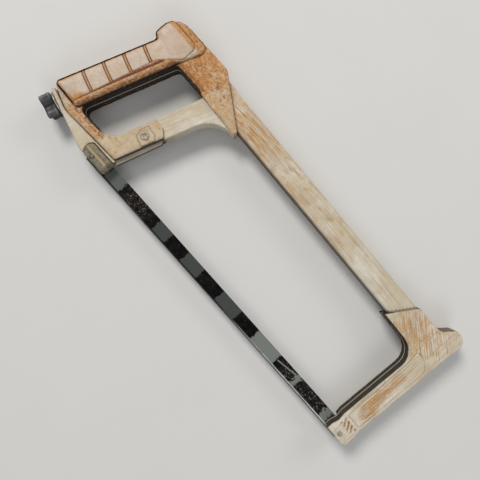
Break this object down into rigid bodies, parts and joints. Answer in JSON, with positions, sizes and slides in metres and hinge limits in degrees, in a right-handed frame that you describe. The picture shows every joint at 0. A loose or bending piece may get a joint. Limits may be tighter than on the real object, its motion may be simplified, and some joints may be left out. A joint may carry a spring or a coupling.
{
  "type": "hacksaw",
  "caption": "High-tension hacksaw with a D handle, a rectangular tube back, a cast front bow and a blade tightened by a knob-driven lever under the grip.",
  "frame": {"origin": "middle of the underside of the saw's box, as it lies on its left side", "axes": "+X along the blade towards the front bow, +Y from the blade up to the tube, +Z out of the right side, up from the surface it lies on"},
  "size_m": [0.3806, 0.1344, 0.03],
  "materials": {
    "cream_paint": "cream paint, brushed and worn, with orange rust rubbed through",
    "cast_cream": "cream paint on a light casting, with orange rust stains and scratches",
    "rusted_cover": "cream paint on a light casting, under heavy orange-brown rust with rough edges",
    "grip_pad": "pale pinkish worn rubber with finger grooves",
    "blade_paint": "grey and black painted bands, chipped, bare toothed edge",
    "bare_steel": "dull plated steel",
    "worn_block": "grey-brown worn casting",
    "knob_plastic": "dark grey moulded plastic",
    "brass": "plain turned brass"
  },
  "bodies": {
    "frame": {"handle_core": "cast_cream", "handle_cover_right": "rusted_cover", "handle_cover_left": "rusted_cover", "grip_pad_right": "grip_pad", "grip_pad_left": "grip_pad", "frame_tube": "cream_paint", "tube_roll_pin": "bare_steel", "front_bow": "cast_cream", "bow_pad_right": "cast_cream", "bow_pad_left": "cast_cream", "bow_grub_screw": "bare_steel", "front_blade_pin": "bare_steel", "pivot_rivet": "worn_block", "pivot_washer": "bare_steel", "tension_stud": "bare_steel", "stud_barrel_nut": "bare_steel", "cover_screw_1": "bare_steel", "cover_screw_2": "bare_steel", "cover_screw_3": "bare_steel", "cover_screw_4": "bare_steel"},
    "lever": {"tension_lever": "cast_cream", "rear_blade_block": "worn_block", "rear_blade_pin": "bare_steel", "pivot_bush": "brass"},
    "knob_carrier": {"thrust_washer": "bare_steel"},
    "knob": {"tension_knob": "knob_plastic", "knob_insert": "brass"},
    "blade": {"blade": "blade_paint"}
  },
  "joints": [
    {"name": "lever_pivot", "type": "hinge", "parent": "frame", "child": "lever", "pos_m": [-0.10616, -0.01787, 0.015], "axis": [0, 0, 1], "range_deg": [0, 4]},
    {"name": "knob_travel", "type": "slide", "parent": "frame", "child": "knob_carrier", "axis": [-0.27, -0.9629, 0], "range_m": [0, 0.005]},
    {"name": "knob_turn", "type": "hinge", "parent": "knob_carrier", "child": "knob", "pos_m": [-0.17826, -0.05887, 0.015], "axis": [-0.27, -0.9629, 0], "range_deg": [0, 1800]},
    {"name": "blade_lift", "type": "slide", "parent": "frame", "child": "blade", "axis": [0, 0, -1], "range_m": [0, 0.0065]}
  ],
  "couplings": [
    {"joint": "knob_travel", "follows": "knob_turn", "m_per_rad": 0.00015915},
    {"joint": "lever_pivot", "follows": "knob_turn", "ratio": 0.0022222}
  ]
}
